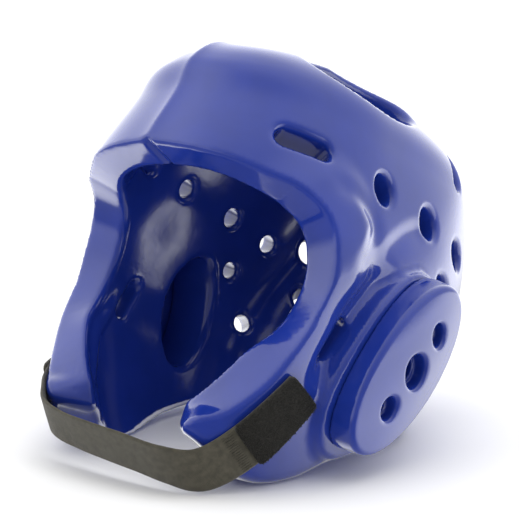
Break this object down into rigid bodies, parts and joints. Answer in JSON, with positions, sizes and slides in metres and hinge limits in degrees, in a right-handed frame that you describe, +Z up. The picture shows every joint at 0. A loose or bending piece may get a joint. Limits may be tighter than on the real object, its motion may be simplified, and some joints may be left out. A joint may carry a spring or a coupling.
{
  "type": "dipped-foam head guard",
  "caption": "Open-face dipped-foam head guard with a vented shell, round-edged ear pads and an elastic chin strap closed by a hook-and-loop tab on the cheek.",
  "frame": {"origin": "middle of the bounding box on the surface that the guard rests on", "axes": "+X to the wearer's left, -Y out of the face opening, +Z up; the head form leans back 20 degrees, as it rests"},
  "size_m": [0.2368, 0.2822, 0.2287],
  "materials": {
    "shell": "glossy dipped vinyl over foam",
    "ear_pad": "glossy dipped vinyl over foam",
    "strap": "woven elastic webbing",
    "closure_tab": "fuzzy loop pile"
  },
  "bodies": {
    "root": {"shell": "shell", "ear_pad_left": "ear_pad", "ear_pad_right": "ear_pad", "chin_strap": "strap", "closure_tab": "closure_tab", "strap_anchor": "strap"}
  },
  "joints": []
}
